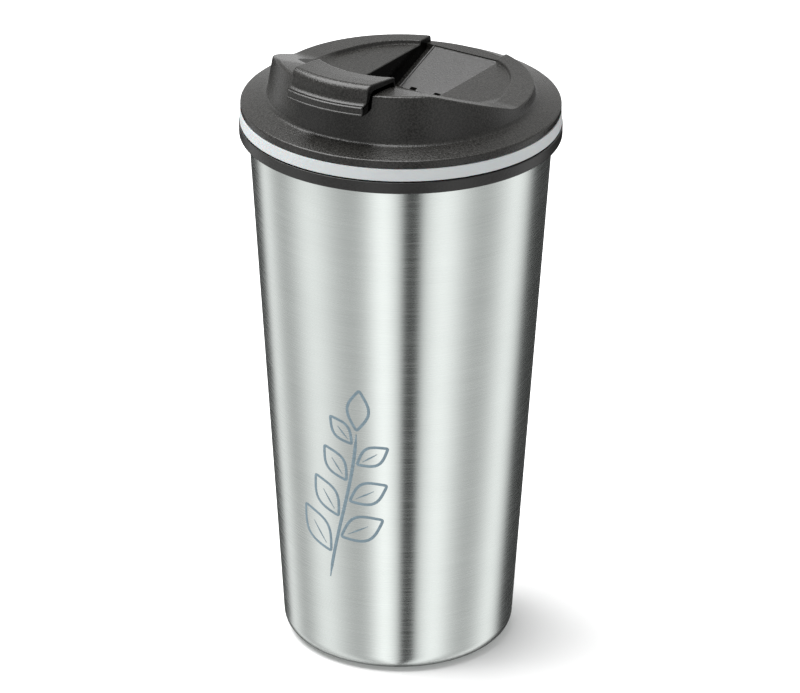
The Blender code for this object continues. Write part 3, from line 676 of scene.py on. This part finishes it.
def inset_section(section, distance):
    """The closed (r, z) section moved inwards by a small distance."""
    points = np.array(section)
    ahead = np.roll(points, -1, axis=0) - points
    behind = points - np.roll(points, 1, axis=0)
    area = 0.5 * np.sum(points[:, 0] * np.roll(points[:, 1], -1) - np.roll(points[:, 0], -1) * points[:, 1])
    run = ahead / np.linalg.norm(ahead, axis=1)[:, None] + behind / np.linalg.norm(behind, axis=1)[:, None]
    run /= np.linalg.norm(run, axis=1)[:, None]
    inward = np.stack([-run[:, 1], run[:, 0]], axis=1) * np.sign(area)
    return [tuple(p) for p in points + inward * distance]


def saddle(name, section, half_width, edge, stations=64):
    """Sweep an (r, z) section round the crown between two parallel ends with rounded rims."""
    rim = [(edge * (1 - math.sin(a)), edge * (1 - math.cos(a))) for a in RIM_ANGLES]
    reach = half_width - edge
    stops = [(-half_width + back, inset) for back, inset in rim]
    stops += [(-reach + 2 * reach * i / stations, 0.0) for i in range(stations + 1)]
    stops += [(half_width - back, inset) for back, inset in reversed(rim)]
    rows = []
    for x, inset in stops:
        outline = inset_section(section, inset)
        rows.append([(x, -math.sqrt(r * r - x * x), z) for r, z in outline])
    return skin(name, rows, caps=True)


def tab_section():
    """Section of the tab: hook with a grooved rib outside, a top that falls back a little, a short lip."""
    outside = [(RIB_R - 0.2, HOOK_BOTTOM_Z, 0.2), (RIB_R + 0.2, HOOK_BOTTOM_Z + 0.2, 0.15)]
    outside += [(RIB_R + 0.2, HOOK_BOTTOM_Z + 0.55, 0.15), (RIB_R - 0.1, HOOK_BOTTOM_Z + 0.75, 0.1)]
    outside += [(RIB_R - 0.05, RIB_Z - 0.15, 0.12), (RIB_R - 0.5, RIB_Z + 0.2, 0.12)]
    outside += [(RIB_R - 0.6, RIB_Z - 0.2, 0.06), (RIB_R - 0.75, RIB_Z - 0.2, 0.06)]
    outside += [(RIB_R - 0.9, RIB_Z + 0.3, 0.12), (RIB_R - 1.4, RIB_Z + 0.65, 0.12)]
    outside += [(APRON_R + 0.45, RIB_Z + 0.7, 0.15), (APRON_R + 0.2, RIB_Z + 1.2, 0.2), (APRON_R, 179.2, 0)]
    outside += bend((TAB_BEND_R, TAB_TOP_Z - TAB_BEND), TAB_BEND, 0, 90, 14)
    outside += [(31.0, 182.0, 2.0), (LIP_R + 0.3, TAB_BACK_Z, 1.2), (LIP_R, LIP_BOTTOM_Z, 0.25)]
    inside = [(LIP_INNER_R, LIP_BOTTOM_Z, 0.2), (LIP_INNER_R, CROWN_Z + GAP, 0.3)]
    inside += [(TAB_BEND_R - 0.7, CROWN_Z + 1.1, 0.8)]
    inside += [(36.3, CROWN_Z + 0.4, 0.6), (37.2, 177.4, 0.5), (37.5, HOOK_BOTTOM_Z, 0.2)]
    return soften(outside + inside)


def sip_tab():
    """Tab hooked over the crown, with its drop plate, stopper boss, arm and hinge barrel."""
    tab = saddle("sip_tab", tab_section(), TAB_HALF, TAB_RIM)
    drop = [(22.6, 178.2, 0.4), (23.6, 179.7, 0.5), (26.1, 180.2, 0), (26.1, 160.4, 0), (22.6, 160.4, 0)]
    plate = saddle("drop_plate", soften(drop), ARM_HALF, TAB_RIM, stations=32)
    bar = [(ARM_FRONT_Y, ARM_BOTTOM_Z, 0.4), (HINGE_Y, ARM_BOTTOM_Z, 0), (HINGE_Y, 162.6, 0)]
    bar += [(-21.0, 163.6, 1.2), (ARM_FRONT_Y, 166.0, 0)]
    arm = side_prism("arm", soften(bar), ARM_HALF - 0.2)
    ease_edges(arm, 0.3)
    barrel = rod("barrel", BARREL_R, BARREL_HALF, HINGE_Y, HINGE_Z, edge=0.3)
    boss_angle = SIP_HALF_ANGLE + BOSS_EXTRA_ANGLE
    boss_plan = sector(DUCT_INNER_R - BOSS_MARGIN, SIP_OUTER_R + BOSS_MARGIN, boss_angle)
    boss = plan_prism("boss", boss_plan, CROWN_Z + GAP, CROWN_Z + BOSS_HEIGHT)
    combine(tab, "UNION", [plate, arm, barrel, boss])
    combine(tab, "DIFFERENCE", [rod("bore", PIN_R + PIN_PLAY, BARREL_HALF + 2, HINGE_Y, HINGE_Z)])
    return tab


def sip_plug():
    """Soft stopper that fills the sip hole."""
    outline = sector(DUCT_INNER_R + GAP, SIP_OUTER_R - GAP, SIP_HALF_ANGLE - GAP / DUCT_INNER_R)
    stopper = plan_prism("sip_plug", outline, CROWN_Z - STOPPER_DEPTH, CROWN_Z)
    ease_edges(stopper, 0.4, segments=3)
    return stopper


# ---------------------------------------------------------------- ornament

ORNAMENT_HEADING = math.radians(8)
ORNAMENT_BASE_Z = 29.0
STEM_LENGTH = 58.0
STEM_STEPS = 60
STEM_END = 50
LEAF_COUNT = 7
LEAF_LENGTH = 15.0
LEAF_WIDTH = 8.2
LEAF_STEPS = 40
LINE_WIDTH = 1.0
OUTLINE_SHARE = 0.85
VEIN_SHARE = 0.5
PRINT_LOW = 0.012
PRINT_HIGH = 0.05


def on_cup(s, z, lift):
    """A point on the cup's wall, s millimetres round it from the ornament's middle."""
    angle = ORNAMENT_HEADING + s / cone_r(z)
    reach = cone_r(z) + lift
    return (reach * math.sin(angle), -reach * math.cos(angle), z)


def stem_point(t):
    """The stem's gentle double bend, t from 0 at its foot to 1 at its tip."""
    return Vector((5.5 * math.sin(2.6 * t - 0.9) - 1.0, ORNAMENT_BASE_Z + STEM_LENGTH * t))


def leaf(base, direction, length, width):
    """Closed outline of a pointed leaf that starts at base."""
    side = Vector((-direction.y, direction.x))
    points = []
    for i in range(LEAF_STEPS):
        turn = 2 * math.pi * i / LEAF_STEPS
        along = 0.5 * (1 - math.cos(turn))
        bulge = math.sin(turn) * (0.35 + 0.65 * math.sin(math.pi * along)) * 0.5 * width
        points.append(base + direction * (length * along) + side * bulge)
    return points


def sprig_lines():
    """Strokes of a plain leafy sprig: (points, closed, width)."""
    stem = [stem_point(i / STEM_STEPS) for i in range(STEM_END + 1)]
    lines = [(stem, False, LINE_WIDTH)]
    for i in range(LEAF_COUNT):
        t = 0.14 + 0.105 * i
        along = (stem_point(t + 0.01) - stem_point(t - 0.01)).normalized()
        side = 1 if i % 2 else -1
        out = Vector((along.y * side, -along.x * side))
        direction = (along * 0.75 + out * 0.8).normalized()
        base = stem_point(t) + out * 1.3 + along * 0.4
        size = 1.0 - 0.06 * i
        outline = leaf(base, direction, LEAF_LENGTH * size, LEAF_WIDTH * size)
        lines.append((outline, True, LINE_WIDTH * OUTLINE_SHARE))
        vein = [base + direction * (LEAF_LENGTH * size * (0.16 + 0.5 * k / 10)) for k in range(11)]
        lines.append((vein, False, LINE_WIDTH * VEIN_SHARE))
    tip = stem_point(STEM_END / STEM_STEPS)
    along = (tip - stem_point((STEM_END - 2) / STEM_STEPS)).normalized()
    lines.append((leaf(tip + along * 1.4, along, 12.5, 6.4), True, LINE_WIDTH * OUTLINE_SHARE))
    return lines


def sprig_print():
    """The strokes as thin raised ribbons that follow the cup's wall, in one piece."""
    bm = bmesh.new()
    for points, closed, width in sprig_lines():
        rings = []
        count = len(points)
        for i, p in enumerate(points):
            before = points[i - 1] if closed or i else p
            after = points[(i + 1) % count] if closed or i < count - 1 else p
            run = (after - before).normalized()
            across = Vector((-run.y, run.x))
            taper = 1.0 if closed else 0.35 + 0.65 * smooth(min(i, count - 1 - i) / 5)
            ring = []
            for share, lift in ((-1, PRINT_LOW), (-0.8, PRINT_HIGH), (0.8, PRINT_HIGH), (1, PRINT_LOW)):
                q = p + across * (0.5 * width * taper * share)
                ring.append(bm.verts.new(Vector(on_cup(q.x, q.y, lift)) * MM))
            rings.append(ring)
        pairs = list(zip(rings, rings[1:]))
        if closed:
            pairs.append((rings[-1], rings[0]))
        for a, b in pairs:
            for k in range(4):
                j = (k + 1) % 4
                bm.faces.new((a[k], a[j], b[j], b[k]))
        if not closed:
            bm.faces.new(rings[0])
            bm.faces.new(rings[-1])
    return make_object("sprig_print", bm)


# ---------------------------------------------------------------- materials

# The span of a noise value that between() spreads over its low and high.
NOISE_LOW = 0.3
NOISE_HIGH = 0.7
EVERY_WAY = (1, 1, 1)


class Paint:
    """A node material in the making, with a Principled BSDF and short ways to add nodes."""

    def __init__(self, name, colour, **constants):
        self.material = bpy.data.materials.new(name)
        self.material.use_nodes = True
        self.tree = self.material.node_tree
        self.shader = self.tree.nodes["Principled BSDF"]
        self.shader.inputs["Base Color"].default_value = (*colour, 1.0)
        for key, value in constants.items():
            self.shader.inputs[key.replace("_", " ")].default_value = value
        self.colour = colour

    def node(self, kind, **settings):
        made = self.tree.nodes.new(kind)
        for key, value in settings.items():
            setattr(made, key, value)
        return made

    def link(self, out, to):
        self.tree.links.new(out, to)

    def noise(self, stretch, scale, detail=2.0, roughness=0.5):
        """Noise over the piece's own coordinates, stretched by a factor along each axis."""
        where = self.node("ShaderNodeTexCoord")
        mapping = self.node("ShaderNodeMapping")
        mapping.inputs["Scale"].default_value = stretch
        self.link(where.outputs["Object"], mapping.inputs["Vector"])
        noise = self.node("ShaderNodeTexNoise")
        noise.inputs["Scale"].default_value = scale
        noise.inputs["Detail"].default_value = detail
        noise.inputs["Roughness"].default_value = roughness
        self.link(mapping.outputs["Vector"], noise.inputs["Vector"])
        return noise.outputs["Fac"]

    def between(self, value, low, high):
        """Map a noise value onto low to high."""
        spread = self.node("ShaderNodeMapRange")
        limits = {"From Min": NOISE_LOW, "From Max": NOISE_HIGH, "To Min": low, "To Max": high}
        for key, number in limits.items():
            spread.inputs[key].default_value = number
        self.link(value, spread.inputs["Value"])
        return spread.outputs["Result"]

    def tint(self, *factors):
        """Multiply the base colour by one or more values."""
        total = factors[0]
        for factor in factors[1:]:
            product = self.node("ShaderNodeMath", operation="MULTIPLY")
            self.link(total, product.inputs[0])
            self.link(factor, product.inputs[1])
            total = product.outputs[0]
        scaled = self.node("ShaderNodeVectorMath", operation="SCALE")
        scaled.inputs[0].default_value = self.colour
        self.link(total, scaled.inputs["Scale"])
        self.link(scaled.outputs["Vector"], self.shader.inputs["Base Color"])

    def roughen(self, value, low, high):
        """Let the roughness follow a noise value."""
        self.link(self.between(value, low, high), self.shader.inputs["Roughness"])

    def bump(self, height, distance, strength=1.0):
        """Fine surface relief of the given depth in metres."""
        made = self.node("ShaderNodeBump")
        made.inputs["Strength"].default_value = strength
        made.inputs["Distance"].default_value = distance
        self.link(height, made.inputs["Height"])
        self.link(made.outputs["Normal"], self.shader.inputs["Normal"])


def brushed_steel(name, colour, roughness, streaks):
    """Steel brushed round the axis: long fine lines, and highlights drawn out along the height."""
    paint = Paint(name, colour, Metallic=1.0, Anisotropic=0.88, Anisotropic_Rotation=0.25)
    tangent = paint.node("ShaderNodeTangent", direction_type="RADIAL", axis="Z")
    paint.link(tangent.outputs["Tangent"], paint.shader.inputs["Tangent"])
    long_lines = paint.noise((26, 26, 3200), 1.0, 3.0, 0.6)
    fine_lines = paint.noise((80, 80, 9000), 1.0, 2.0, 0.6)
    cloud = paint.noise((60, 60, 120), 1.0, 2.0)
    paint.tint(
        paint.between(long_lines, 1 - streaks, 1 + streaks),
        paint.between(fine_lines, 1 - 0.6 * streaks, 1 + 0.6 * streaks),
        paint.between(cloud, 0.985, 1.015),
    )
    paint.roughen(long_lines, roughness - 0.03, roughness + 0.03)
    paint.bump(fine_lines, 0.000004, 0.35)
    return paint.material


def moulded_plastic(name, colour, roughness, grain, level=0.5):
    """Dark plastic with a fine eroded grain."""
    paint = Paint(name, colour, IOR=1.5, Specular_IOR_Level=level)
    specks = paint.noise(EVERY_WAY, 2000.0, 2.0, 0.6)
    patches = paint.noise(EVERY_WAY, 90.0, 2.0)
    paint.tint(paint.between(specks, 0.4, 1.6), paint.between(patches, 0.95, 1.05))
    paint.roughen(specks, roughness - 0.06, roughness + 0.06)
    paint.bump(specks, grain)
    return paint.material


def silicone(name, colour, roughness):
    """Soft rubber with a faint bloom."""
    paint = Paint(name, colour, IOR=1.41, Subsurface_Weight=0.15, Subsurface_Scale=0.001)
    bloom = paint.noise(EVERY_WAY, 220.0, 3.0)
    dust = paint.noise(EVERY_WAY, 4000.0, 2.0)
    paint.tint(paint.between(bloom, 0.985, 1.015))
    paint.roughen(dust, roughness - 0.05, roughness + 0.05)
    paint.bump(dust, 0.00001, 0.3)
    return paint.material


def sealing_glass(name):
    """Dark grey solder glass."""
    paint = Paint(name, (0.25, 0.27, 0.28), IOR=1.52)
    swirl = paint.noise(EVERY_WAY, 500.0, 2.0)
    paint.tint(paint.between(swirl, 0.85, 1.1))
    paint.roughen(swirl, 0.12, 0.25)
    return paint.material


def print_ink(name):
    """Satin blue-grey print on the steel."""
    paint = Paint(name, (0.17, 0.235, 0.275), Metallic=0.35)
    wear = paint.noise((60, 60, 1500), 1.0, 3.0)
    paint.tint(paint.between(wear, 0.88, 1.12))
    paint.roughen(wear, 0.38, 0.5)
    return paint.material


def pale_floor(name):
    """Matt white table."""
    paint = Paint(name, (0.86, 0.86, 0.86), Roughness=0.9)
    mottle = paint.noise(EVERY_WAY, 30.0, 2.0)
    paint.tint(paint.between(mottle, 0.995, 1.005))
    return paint.material


# ---------------------------------------------------------------- studio

CAMERA_AZIMUTH = math.radians(33)
CAMERA_ELEVATION = 0.4350
CAMERA_DISTANCE = 1.4769
CAMERA_AIM_Z = 0.08788
CAMERA_ROLL = 0.0056
CAMERA_SHIFT = (0.0005, 0.0003)
FOCAL_LENGTH = 232.4
SENSOR_WIDTH = 36.0
FLOOR_HALF = 4.0


def add_camera():
    """The camera stands to the right of the drinking side and looks down on the mug."""
    level = CAMERA_DISTANCE * math.cos(CAMERA_ELEVATION)
    aim = Vector((0, 0, CAMERA_AIM_Z))
    offset = (math.sin(CAMERA_AZIMUTH) * level, -math.cos(CAMERA_AZIMUTH) * level)
    position = aim + Vector((*offset, CAMERA_DISTANCE * math.sin(CAMERA_ELEVATION)))
    forward = (aim - position).normalized()
    right = forward.cross(Vector((0, 0, 1))).normalized()
    up = right.cross(forward)
    rolled_right = right * math.cos(CAMERA_ROLL) + up * math.sin(CAMERA_ROLL)
    rolled_up = up * math.cos(CAMERA_ROLL) - right * math.sin(CAMERA_ROLL)
    data = bpy.data.cameras.new("camera")
    data.sensor_width = SENSOR_WIDTH
    data.lens = FOCAL_LENGTH
    data.shift_x, data.shift_y = CAMERA_SHIFT
    data.clip_end = 50.0
    camera = bpy.data.objects.new("camera", data)
    columns = (rolled_right, rolled_up, -forward)
    camera.matrix_world = Matrix.Translation(position) @ Matrix(columns).transposed().to_4x4()
    bpy.context.scene.collection.objects.link(camera)
    bpy.context.scene.camera = camera


# Soft panels round the table: heading in degrees from the drinking side, half width, brightness.
PANELS = (
    (-45, 16, 0.7),
    (19, 10.5, 1.0),
    (69, 14, 0.9),
    (137, 14, 0.85),
    (-98, 9, 0.75),
    (212, 10, 0.7),
)
# Dark gaps between panels, which the steel shows as narrow dark bands.
GAPS = ((42.3, 4.6, -1.4), (-68, 9, -0.15))
# Dark screens low behind the mug on both sides, which darken the steel towards its outlines. From
# behind they show as a broad dark band on the steel.
SCREENS = ((185, 14, -4.5), (-129, 10, -5.0))
ROOM_LIGHT = 0.5
UPPER_LIGHT = 0.66
DARKEST = 0.03


def studio_light():
    """A ring of soft panels at table height and dark screens low down, under an even pale sky."""
    world = bpy.data.worlds.new("studio")
    bpy.context.scene.world = world
    world.use_nodes = True
    tree = world.node_tree
    background = tree.nodes["Background"]

    def math_node(operation, first, second=0.0):
        made = tree.nodes.new("ShaderNodeMath")
        made.operation = operation
        for socket, value in zip(made.inputs, (first, second)):
            if isinstance(value, (int, float)):
                socket.default_value = value
            else:
                tree.links.new(value, socket)
        return made.outputs[0]

    def fade(value, start, end):
        made = tree.nodes.new("ShaderNodeMapRange")
        made.interpolation_type = "SMOOTHSTEP"
        made.inputs["From Min"].default_value = start
        made.inputs["From Max"].default_value = end
        tree.links.new(value, made.inputs["Value"])
        return made.outputs["Result"]

    where = tree.nodes.new("ShaderNodeTexCoord")
    level = tree.nodes.new("ShaderNodeVectorMath")
    level.operation = "MULTIPLY"
    level.inputs[1].default_value = (1, 1, 0)
    tree.links.new(where.outputs["Generated"], level.inputs[0])
    heading = tree.nodes.new("ShaderNodeVectorMath")
    heading.operation = "NORMALIZE"
    tree.links.new(level.outputs["Vector"], heading.inputs[0])

    def glow(degrees, half_width):
        """1 at the heading, falling off to both sides."""
        angle = math.radians(degrees)
        towards = tree.nodes.new("ShaderNodeVectorMath")
        towards.operation = "DOT_PRODUCT"
        towards.inputs[1].default_value = (math.sin(angle), -math.cos(angle), 0)
        tree.links.new(heading.outputs["Vector"], towards.inputs[0])
        away = math_node("SUBTRACT", towards.outputs["Value"], 1.0)
        return math_node("EXPONENT", math_node("MULTIPLY", away, math.radians(half_width) ** -2))

    split = tree.nodes.new("ShaderNodeSeparateXYZ")
    tree.links.new(where.outputs["Generated"], split.inputs[0])
    height = split.outputs["Z"]
    low_down = math_node("SUBTRACT", 1.0, fade(height, -0.35, -0.15))
    ring = ROOM_LIGHT
    for degrees, half_width, strength in PANELS + GAPS:
        ring = math_node("ADD", math_node("MULTIPLY", glow(degrees, half_width), strength), ring)
    for degrees, half_width, strength in SCREENS:
        shade = math_node("MULTIPLY", glow(degrees, half_width), strength)
        ring = math_node("ADD", math_node("MULTIPLY", shade, low_down), ring)
    ring = math_node("MAXIMUM", ring, DARKEST)
    above = fade(height, -0.1, 0.2)
    ring = math_node("MULTIPLY", ring, math_node("SUBTRACT", 1.0, above))
    total = math_node("ADD", ring, math_node("MULTIPLY", above, UPPER_LIGHT))
    tree.links.new(total, background.inputs["Strength"])
    background.inputs["Color"].default_value = (1, 1, 1, 1)


def add_soft_light(name, position, aim, size, power):
    """A square soft box."""
    data = bpy.data.lights.new(name, "AREA")
    data.shape = "SQUARE"
    data.size = size
    data.energy = power
    light = bpy.data.objects.new(name, data)
    light.location = position
    light.rotation_euler = (Vector(aim) - Vector(position)).to_track_quat("-Z", "Y").to_euler()
    bpy.context.scene.collection.objects.link(light)


def add_floor(material):
    """A wide pale table. The steel mirrors the panels and not the table, so it is kept out of reflections."""
    bm = bmesh.new()
    bmesh.ops.create_grid(bm, x_segments=8, y_segments=8, size=FLOOR_HALF)
    floor = make_object("floor", bm)
    floor.data.materials.append(material)
    floor.visible_glossy = False


# ---------------------------------------------------------------- assembly


def place(obj, body, material, slot, *nodes):
    """Give a piece its material and body, and let it stand for CAD nodes. The slot argument is not used."""
    obj.data.materials.clear()
    obj.data.materials.append(material)
    settle_shading(obj)
    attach(obj, body)
    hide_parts(*nodes)


def paint_shade_on_upright_sides(obj, material, half_width):
    """Painted shade: the flat upright faces at one distance either side of the middle get a second material,
    a near-black copy of the plastic.
    """
    obj.data.materials.append(material)
    for face in obj.data.polygons:
        if abs(face.normal.x) > 0.95 and abs(abs(face.center.x) / MM - half_width) < 0.05:
            face.material_index = 1


def repaint(node, material):
    """A new material for a CAD node that stays."""
    node.data.materials.clear()
    node.data.materials.append(material)


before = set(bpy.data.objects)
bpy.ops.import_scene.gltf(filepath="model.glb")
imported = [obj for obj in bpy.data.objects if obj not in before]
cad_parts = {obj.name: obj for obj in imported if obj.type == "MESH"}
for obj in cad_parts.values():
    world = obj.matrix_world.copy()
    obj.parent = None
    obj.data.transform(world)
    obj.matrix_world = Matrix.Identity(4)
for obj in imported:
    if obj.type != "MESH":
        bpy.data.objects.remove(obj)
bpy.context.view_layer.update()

steel = brushed_steel("steel_brushed", (0.64, 0.675, 0.655), 0.26, 0.035)
steel_inside = brushed_steel("steel_inside", (0.56, 0.57, 0.565), 0.42, 0.03)
steel_plain = brushed_steel("steel_plain", (0.5, 0.51, 0.51), 0.4, 0.05)
plastic = moulded_plastic("plastic_grained", (0.016, 0.0155, 0.0143), 0.28, 0.00008, level=0.3)
plastic_smooth = moulded_plastic("plastic_satin", (0.0065, 0.0062, 0.0055), 0.36, 0.00006)
# A near-black copy of the grained plastic, used as painted shade on the channel walls and the tab's end
# faces.
plastic_painted_shade = moulded_plastic("plastic_painted_shade", (0.002, 0.0019, 0.0017), 0.22, 0.00003, level=0.2)
band_rubber = silicone("silicone_pale", (0.445, 0.467, 0.472), 0.5)
clear_rubber = silicone("silicone_clear", (0.5, 0.5, 0.47), 0.5)

place(steel_body(), "mug", steel, "brushed_steel", "outer_shell")
place(drinking_vessel(), "mug", steel_inside, "plain_steel", "inner_vessel")
place(foot_disc(), "mug", steel, "brushed_steel", "bottom_cover")
place(neck_ring(), "mug", plastic_smooth, "dark_plastic", "neck_collar")
place(seal_band(), "seal", band_rubber, "light_silicone", "lid_seal_ring")
top = lid_top()
place(top, "lid", plastic, "dark_plastic", "lid_shell")
# Painted shade: the channel's upright walls get the near-black copy of the plastic.
paint_shade_on_upright_sides(top, plastic_painted_shade, CHANNEL_HALF)
place(sloped_insert(), "lid", plastic_smooth, "dark_plastic", "channel_insert")
pin = rod("steel_pin", PIN_R, CHANNEL_HALF - 0.8, HINGE_Y, HINGE_Z, edge=0.2)
place(pin, "lid", steel_plain, "plain_steel", "hinge_pin")
place(screw_plug(), "lid", plastic_smooth, "dark_plastic", "lid_plug")
tab = sip_tab()
place(tab, "flap", plastic, "dark_plastic", "flap")
# Painted shade: the tab's upright end faces get the near-black copy of the plastic.
paint_shade_on_upright_sides(tab, plastic_painted_shade, TAB_HALF)
place(sip_plug(), "flap", clear_rubber, "clear_silicone", "sip_stopper")
pip = upright("vent_pip", VENT_R - GAP, VENT_Y, 157.0, 159.3, edge=0.3)
place(pip, "flap", clear_rubber, "clear_silicone", "vent_stopper")

ornament = sprig_print()
ornament.data.materials.append(print_ink("print_blue_grey"))
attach(ornament, "mug")

for name in ("outer_bottom", "getter_capsule"):
    repaint(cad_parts[name], steel_plain)
for name in ("collar_gasket", "duct_gasket"):
    repaint(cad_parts[name], clear_rubber)
repaint(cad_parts["vacuum_seal_bead"], sealing_glass("solder_glass"))

add_floor(pale_floor("table_white"))
studio_light()
add_soft_light("soft_box", (-0.38, -0.12, 1.3), (0, 0, 0.17), 1.1, 38.0)
add_camera()
bpy.context.scene.view_settings.view_transform = "Standard"
